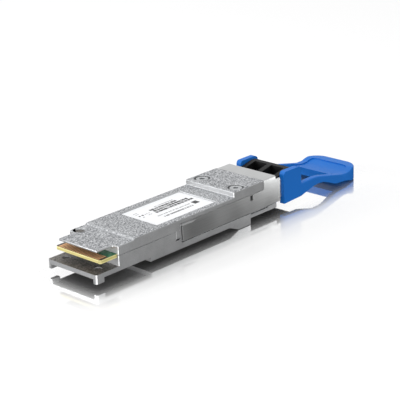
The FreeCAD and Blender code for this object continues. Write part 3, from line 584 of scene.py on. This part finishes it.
# the label's print, in mm from its rear left corner; rows are (start, end, nearest edge, furthest edge)
labelPrint = {
    "seed": 7,
    "inks": {"dark": "#2B2B2D", "faint": "#9C9D9F"},
    "inkMm": 0.012,
    "sinkMm": 0.004,                         # the marks reach this far into the film
    "codeRows": [(6.9, 17.6, 3.6, 4.5), (7.2, 20.6, 4.75, 5.75), (6.9, 20.9, 6.0, 6.95)],
    "codeWidths": (0.3, 0.45, 0.6, 0.9),
    "codeGaps": (0.14, 0.2, 0.26),
    "codeMargin": 0.5,                       # no mark starts this close to the row's end
    "textRows": [
        (9.8, 17.3, 2.7, 3.15, "faint"),
        (5.2, 17.7, 8.6, 9.1, "faint"),
        (6.2, 17.3, 10.1, 10.75, "dark"),
        (1.8, 3.6, 2.7, 3.0, "faint"),
        (1.8, 3.4, 3.6, 3.9, "faint"),
        (3.9, 5.9, 5.0, 5.4, "faint"),
        (4.3, 5.6, 6.1, 6.4, "faint"),
        (2.0, 3.0, 6.3, 6.7, "faint"),
    ],
    "textWidths": (0.25, 0.7),
    "textGaps": (0.14, 0.14, 0.4),           # two narrow ones for each wide one, as between letters
    "textMargin": 0.3,
    "spots": [(2.0, 5.2, 0.32), (3.1, 5.2, 0.36)],   # centre and radius
    "spotSides": 20,
    "squareMark": (19.5, 9.2, 0.95),                 # centre and half its side
}


def printBlock(build, corner, x, y):
    # one printed mark as a very thin slab; corner is the label's rear left top corner
    low = corner + Vector((x[0] * mm, -y[1] * mm, -labelPrint["sinkMm"] * mm))
    high = corner + Vector((x[1] * mm, -y[0] * mm, labelPrint["inkMm"] * mm))
    slab = bmesh.ops.create_cube(build, size=1.0)["verts"]
    bmesh.ops.scale(build, vec=high - low, verts=slab)
    bmesh.ops.translate(build, vec=(low + high) / 2, verts=slab)


def printSpot(build, corner, x, y, radius):
    thickness = labelPrint["inkMm"] * mm
    spot = bmesh.ops.create_cone(build, cap_ends=True, segments=labelPrint["spotSides"],
                                 radius1=radius * mm, radius2=radius * mm, depth=thickness)["verts"]
    bmesh.ops.translate(build, vec=corner + Vector((x * mm, -y * mm, thickness / 2)), verts=spot)


def makeLabelPrint():
    # generic bars and dots: no row of them can be read
    low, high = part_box("label")
    corner = Vector((low.x, high.y, high.z))
    inks = {ink: bmesh.new() for ink in labelPrint["inks"]}
    dice = random.Random(labelPrint["seed"])
    for x, end, near, far in labelPrint["codeRows"]:
        while x < end - labelPrint["codeMargin"]:
            width = dice.choice(labelPrint["codeWidths"])
            printBlock(inks["dark"], corner, (x, x + width), (near, far))
            x += width + dice.choice(labelPrint["codeGaps"])
    for x, end, near, far, ink in labelPrint["textRows"]:
        while x < end - labelPrint["textMargin"]:
            width = dice.uniform(*labelPrint["textWidths"])
            printBlock(inks[ink], corner, (x, min(x + width, end)), (near, far))
            x += width + dice.choice(labelPrint["textGaps"])
    for x, y, radius in labelPrint["spots"]:
        printSpot(inks["dark"], corner, x, y, radius)
    x, y, half = labelPrint["squareMark"]
    printBlock(inks["dark"], corner, (x - half, x + half), (y - half, y + half))
    for ink, colour in labelPrint["inks"].items():
        mesh = bpy.data.meshes.new("labelPrint_" + ink)
        inks[ink].to_mesh(mesh)
        inks[ink].free()
        piece = newPiece("labelPrint_" + ink, mesh)
        # thermal transfer ribbon: flat, dense and slightly glossy
        paint(piece, mouldedSkin("resinRibbonInk_" + ink, colour, roughness=0.45, sparkMm=0.3, strength=0.1))
        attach(piece, bodyOf["label"])


makeLabelPrint()
print("label printed")

stage = {
    "floorSize": 3.0,
    "floorColour": "#F4F4F4",
    "floorRoughness": 0.05,
    # how strongly the floor mirrors, from beside the module out to mirrorReach
    "mirror": [(0.0, 0.9), (0.1, 0.8), (0.2, 0.6), (0.3, 0.34), (0.5, 0.13), (0.8, 0.02), (1.0, 0.0)],
    "mirrorReach": 0.02,    # metres from the module at which the floor's gloss has faded
}


def makeFloor():
    mesh = bpy.data.meshes.new("floorSheet")
    half = stage["floorSize"] / 2
    mesh.from_pydata([(-half, -half, 0), (half, -half, 0), (half, half, 0), (-half, half, 0)], [],
                     [(0, 1, 2, 3)])
    floor = newPiece("floorSheet", mesh)
    # pale acrylic sheet: white, with a sharp mirror image that fades quickly away from the module
    material, tree, shader, place = newMaterial("glossyAcrylicSheet")
    away = addNode(tree, "ShaderNodeVectorMath", {"operation": "ABSOLUTE"}, {0: place})
    outside = addNode(tree, "ShaderNodeVectorMath",
                      {"operation": "SUBTRACT", 1: (cadBox[1][0], cadBox[1][1], 0)},
                      {0: away.outputs["Vector"]})
    beyond = addNode(tree, "ShaderNodeVectorMath", {"operation": "MAXIMUM", 1: (0, 0, 0)},
                     {0: outside.outputs["Vector"]})
    distance = addNode(tree, "ShaderNodeVectorMath", {"operation": "LENGTH"}, {0: beyond.outputs["Vector"]})
    share = addNode(tree, "ShaderNodeMath", {"operation": "DIVIDE", 1: stage["mirrorReach"]},
                    {0: distance.outputs["Value"]})
    gloss = addNode(tree, "ShaderNodeValToRGB",
                    {"stops": [(at, grey(level)) for at, level in stage["mirror"]]}, {0: share.outputs[0]})
    join(tree, gloss.outputs["Color"], shader.inputs["Metallic"])
    whiter = addNode(tree, "ShaderNodeMix",
                     {"data_type": "RGBA", 6: hexToLinear(stage["floorColour"]), 7: grey(1.0)},
                     {0: gloss.outputs["Color"]})
    join(tree, whiter.outputs[2], shader.inputs["Base Color"])
    setShader(shader, Roughness=stage["floorRoughness"], Specular_IOR_Level=0.0)
    paint(floor, material)
    floor.visible_diffuse = False   # the white sheet doesn't wash out the module's sides
    floor.visible_glossy = False


softboxes = {
    # name: (place in metres, what it points at, size, watts)
    "keySoftbox": ((-0.30, 0.15, 0.75), (0, 0, 0), 0.7, 1.6),
    "hostEndSoftbox": ((-0.42, 0.28, 0.06), (-0.04, 0, 0), 0.22, 1.4),
    "tabEndSoftbox": ((0.045, -0.035, 0.006), (0.012, -0.009, 0.005), 0.02, 0.0038),
    "cornerGlint": ((-0.30, -0.31, 0.04), (-0.05, 0, 0.005), 0.08, 0.8),
}
# lights that fall on these pieces only
litAlone = {
    "cornerGlint": ("bottom_housingShell", "top_coverShell", "release_sliderShell"),
    "tabEndSoftbox": ("bottom_housingShell", "release_sliderShell"),
}


def makeLights():
    for name, (place, target, size, watts) in softboxes.items():
        lamp = bpy.data.lights.new(name, "AREA")
        lamp.shape = "SQUARE"
        lamp.size = size
        lamp.energy = watts
        holder = newPiece(name, lamp)
        holder.location = place
        holder.rotation_euler = (Vector(place) - Vector(target)).to_track_quat("Z", "Y").to_euler()
        holder.visible_camera = False
        if name in litAlone:
            lit = bpy.data.collections.new("litBy_" + name)
            for shell in litAlone[name]:
                lit.objects.link(bpy.data.objects[shell])
            holder.light_linking.receiver_collection = lit


room = {
    # height of the direction on the unit sphere from -1 to 1, and the brightness seen there
    "steps": [(-1.0, 0.02), (-0.6, 0.12), (-0.35, 0.26), (-0.1, 0.32), (0.12, 0.75), (0.3, 1.06),
              (0.6, 0.9), (1.0, 0.95)],
    # below the horizon, the side towards the tab and the module's left is darker
    "shadeToward": (0.7, 0.7, 0.0),
    "shadeFacing": (0.1, 0.5),
    "shadeLevel": 0.03,
    # and the near side is brighter, where upright corners catch the white sheet
    "glowToward": (-0.7, -0.7, 0.0),
    "glowFacing": (0.4, 0.85),
    "glowLevel": 7.0,
    "belowHorizon": (-0.1, 0.0),   # heights between which the shade and the glow fade out
}


def makeRoom():
    world = bpy.data.worlds.new("paleRoom")
    world.use_nodes = True
    tree = world.node_tree
    direction = addNode(tree, "ShaderNodeTexCoord").outputs["Generated"]
    height = addNode(tree, "ShaderNodeSeparateXYZ", links={0: direction}).outputs["Z"]
    share = addNode(tree, "ShaderNodeMapRange", fromTo((-1.0, 1.0)), {"Value": height})
    colour = addNode(tree, "ShaderNodeValToRGB",
                     {"stops": [((at + 1) / 2, grey(bright)) for at, bright in room["steps"]]},
                     {0: share.outputs["Result"]})
    far = addNode(tree, "ShaderNodeVectorMath", {"operation": "DOT_PRODUCT", 1: room["shadeToward"]},
                  {0: direction})
    shade = addNode(tree, "ShaderNodeMapRange", fromTo(room["shadeFacing"], (1.0, room["shadeLevel"])),
                    {"Value": far.outputs["Value"]})
    near = addNode(tree, "ShaderNodeVectorMath", {"operation": "DOT_PRODUCT", 1: room["glowToward"]},
                   {0: direction})
    glow = addNode(tree, "ShaderNodeMapRange", fromTo(room["glowFacing"], (1.0, room["glowLevel"])),
                   {"Value": near.outputs["Value"]})
    level = addNode(tree, "ShaderNodeMath", {"operation": "MULTIPLY"},
                    {0: shade.outputs["Result"], 1: glow.outputs["Result"]})
    above = addNode(tree, "ShaderNodeMapRange", fromTo(room["belowHorizon"]), {"Value": height})
    strength = addNode(tree, "ShaderNodeMix", {3: 1.0}, {0: above.outputs["Result"], 2: level.outputs[0]})
    join(tree, colour.outputs["Color"], tree.nodes["Background"].inputs["Color"])
    join(tree, strength.outputs[0], tree.nodes["Background"].inputs["Strength"])
    bpy.context.scene.world = world


view = {
    "azimuth": 43.70,      # degrees; the camera looks down the module from its host end
    "elevation": 19.87,
    "roll": -2.03,
    "distance": 0.37,
    "lens": 128.5,
    "nearest": 0.01,       # metres; anything closer to the camera is cut away
    "aim": (-0.0252, -0.0177, 0.0177),
}


def makeCamera():
    azimuth, elevation, roll = (math.radians(view[k]) for k in ("azimuth", "elevation", "roll"))
    forward = Vector((math.cos(elevation) * math.cos(azimuth), math.cos(elevation) * math.sin(azimuth),
                      -math.sin(elevation)))
    level = forward.cross(Vector((0, 0, 1))).normalized()
    upright = level.cross(forward)
    right = level * math.cos(roll) + upright * math.sin(roll)
    up = upright * math.cos(roll) - level * math.sin(roll)
    data = bpy.data.cameras.new("camera")
    data.lens = view["lens"]
    data.clip_start = view["nearest"]
    camera = newPiece("camera", data)
    turn = Matrix((right, up, -forward)).transposed().to_4x4()
    camera.matrix_world = Matrix.Translation(Vector(view["aim"]) - forward * view["distance"]) @ turn
    bpy.context.scene.camera = camera


makeFloor()
makeLights()
makeRoom()
makeCamera()
bpy.context.scene.view_settings.view_transform = "Standard"
print("stage, lights and camera set")
